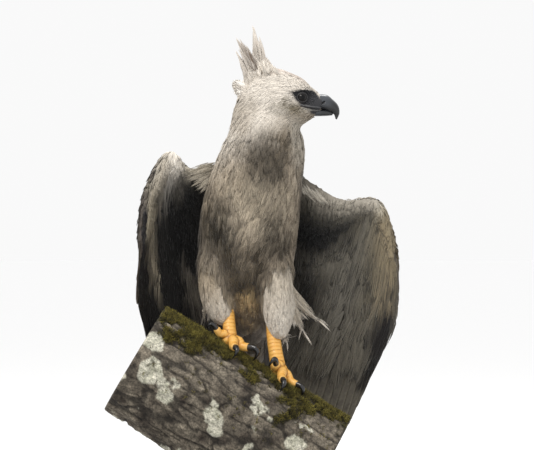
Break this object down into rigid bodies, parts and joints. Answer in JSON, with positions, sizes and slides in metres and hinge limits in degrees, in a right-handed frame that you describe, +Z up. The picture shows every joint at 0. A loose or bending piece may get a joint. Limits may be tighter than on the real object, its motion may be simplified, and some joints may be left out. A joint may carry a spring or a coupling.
{
  "type": "harpy eagle",
  "caption": "Life-size still model of a young harpy eagle gripping a sloping limb, wings half open and drooping, head in profile, held on a flat stand.",
  "frame": {"origin": "middle of the stand's underside", "axes": "+Z up along the bird; the breast faces -Y; the head and bill point to +X, the bird's own left; the limb slopes down toward +X"},
  "size_m": [0.5646, 0.4441, 1.0499],
  "materials": {
    "head_plumage": "short soft cream-white feathers",
    "body_plumage": "soft streaked grey-beige feathers",
    "wing_plumage": "matte grey-brown feathers",
    "flight_feather": "stiff barred grey vanes with a slight sheen",
    "horn": "polished slate-black horn",
    "eye": "wet dark brown eye",
    "leg_skin": "yellow-orange skin in fine scales",
    "bark": "rough grey-brown bark with moss and lichen, sawn ends",
    "stand_board": "dark stained, satin varnish",
    "stand_steel": "brushed"
  },
  "bodies": {
    "root": {"head": "head_plumage", "neck": "body_plumage", "trunk": "body_plumage", "crest_left": "head_plumage", "crest_right": "head_plumage", "bill_upper": "horn", "bill_lower": "horn", "eye_left": "eye", "eye_right": "eye", "thigh_left": "body_plumage", "thigh_right": "body_plumage", "shank_left": "leg_skin", "shank_right": "leg_skin", "foot_left": "leg_skin", "foot_right": "leg_skin", "claw_left_inner": "horn", "claw_left_middle": "horn", "claw_left_outer": "horn", "claw_left_hind": "horn", "claw_right_inner": "horn", "claw_right_middle": "horn", "claw_right_outer": "horn", "claw_right_hind": "horn", "wing_left_arm": "wing_plumage", "wing_left_hand": "wing_plumage", "wing_left_secondaries": "flight_feather", "wing_left_primaries": "flight_feather", "wing_right_arm": "wing_plumage", "wing_right_hand": "wing_plumage", "wing_right_secondaries": "flight_feather", "wing_right_primaries": "flight_feather", "tail": "flight_feather", "perch_limb": "bark", "stand_base": "stand_board", "stand_rod_1": "stand_steel", "stand_rod_2": "stand_steel"}
  },
  "joints": []
}
